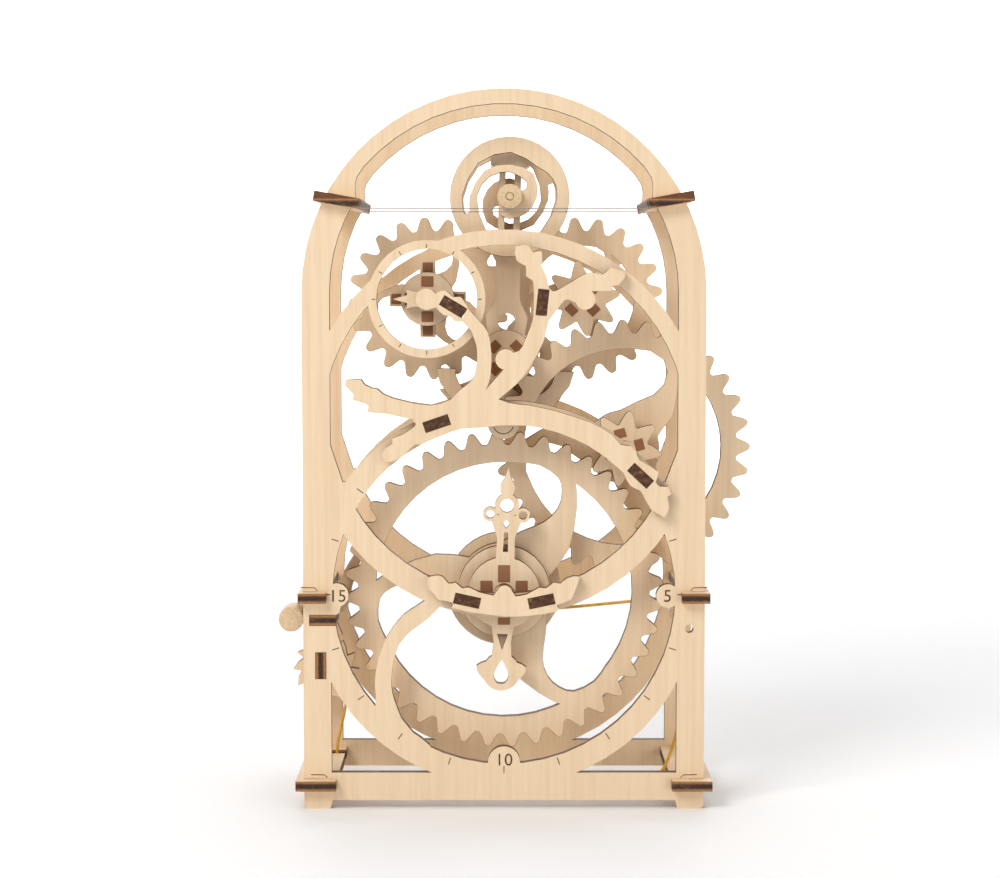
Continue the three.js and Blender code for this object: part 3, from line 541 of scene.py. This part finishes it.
def engraved_number(text, x, z, height, material):
    """A plain minute number cut into the front face."""
    curve = bpy.data.curves.new("number_" + text, "FONT")
    curve.body = text
    curve.align_x = "CENTER"
    curve.align_y = "CENTER"
    curve.size = height * 1.42
    curve.space_character = 1.05
    written = bpy.data.objects.new("number_seed", curve)
    bpy.context.scene.collection.objects.link(written)
    bpy.context.view_layer.update()
    mesh = bpy.data.meshes.new_from_object(
        written.evaluated_get(bpy.context.evaluated_depsgraph_get()))
    bpy.data.objects.remove(written)
    mesh.transform(Matrix.Translation((x, FACE - ENGRAVING_LIFT, z))
                   @ Matrix.Rotation(math.radians(90), 4, "X"))
    mesh.materials.clear()
    mesh.materials.append(material)
    piece = bpy.data.objects.new("number_" + text, mesh)
    bpy.context.scene.collection.objects.link(piece)
    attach(piece, "frame")


def engrave_front(tree, ink):
    face = FACE - ENGRAVING_LIFT
    at_main = Vector((MAIN.x, face, MAIN.z))
    at_seconds = Vector((SECONDS.x, face, SECONDS.z))
    blocks_on_ring(tree, "minute_marks", "frame", at_main, ink,
                   (2.6 * MM, 0.04 * MM, 0.32 * MM), 20, 62.2 * MM, 0)
    blocks_on_ring(tree, "second_marks", "frame", at_seconds, ink,
                   (1.3 * MM, 0.04 * MM, 0.28 * MM), 12, 18.5 * MM, 30)
    places = {"5": (57.4, 75.4), "10": (0, 17.2), "15": (-58.4, 75.4)}
    for text, (x, z) in places.items():
        engraved_number(text, MIDDLE + x * MM, z * MM, 4.3 * MM, ink)


def tenon_rings(tree, tenon):
    """Square tenon ends that lock the layers of each wheel stack."""
    proud_front, proud_back = 0.35 * MM, 0.1 * MM

    def ring(name, body, centre, front_node, back_node, radius, start, size, count=4):
        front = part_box(front_node)[0].y - proud_front
        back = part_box(back_node)[1].y + proud_back
        middle = Vector((centre.x, (front + back) / 2, centre.z))
        blocks_on_ring(tree, name, body, middle, tenon,
                       (size[0], back - front, size[1]), count, radius, start,
                       rounding=0.15 * MM)

    for name, x, z in (("top", 0, 6.9), ("left", -6.2, 1.4), ("right", 6.2, 1.4),
                       ("bottom", 0, -8.3)):
        spot = MAIN + Vector((x * MM, 0, z * MM))
        ring(f"pointer_tenon_{name}", "main_arbor", spot, "pointer", "drum_flange_front", 0, 0,
             (4.2 * MM, 6 * MM), 1)
    ring("seconds_inner_tenons", "seconds_arbor", SECONDS, "seconds_disc", "seconds_cross",
         6.2 * MM, 0, (3.6 * MM, 4.2 * MM))
    ring("seconds_outer_tenons", "seconds_arbor", SECONDS, "seconds_cross", "seconds_cross",
         11.2 * MM, 0, (3.4 * MM, 3.6 * MM))
    ring("moon_tenons", "pendulum", PENDULUM, "pendulum_disc", "pendulum_rod", 5.6 * MM, 45,
         (3.4 * MM, 4 * MM))
    ring("upper_tenons", "upper_arbor", UPPER, "upper_pinion", "upper_pinion", 5.6 * MM, 45,
         (3.2 * MM, 4 * MM))
    ring("relay_tenons", "relay_arbor", RELAY, "relay_pinion", "relay_pinion", 5.6 * MM, 15,
         (3.2 * MM, 4 * MM))


def details(tenon_material):
    tree = ring_tree()
    ink = laser_line()
    engrave_front(tree, ink)
    tenon_rings(tree, tenon_material)
    line = 0.3 * MM
    tab_low, tab_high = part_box("stop_tab")
    tab = Vector(((tab_low.x + tab_high.x) / 2, 0, (tab_low.z + tab_high.z) / 2))
    flat_stroke("tab_groove", "frame", arc_points(tab, 3.6 * MM, 200, 340, 14), line,
                tab_low.y - ENGRAVING_LIFT, ink)
    for side in (-1, 1):
        for level in ("tie_bottom", "tie_middle"):
            low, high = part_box(level + ("_left" if side < 0 else "_right"))
            inner = high.x if side < 0 else low.x
            outer = inner + side * 9 * MM
            top = high.z + 1.5 * MM
            flat_stroke(f"{level}_groove_{'left' if side < 0 else 'right'}", "frame",
                        [(outer, top + 0.1 * MM), (inner + side * 4.2 * MM, top),
                         (inner + side * 3.2 * MM, top - 1.0 * MM)],
                        line, FACE - ENGRAVING_LIFT, ink)


# ------------------------------------------------------------------ put together

add_camera()
add_studio()
add_floor()
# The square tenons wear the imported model's own plain burnt finish, browner than the keys'.
plain_tenon = bpy.data.materials["burnt_tenon"]
dress_all()
details(plain_tenon)
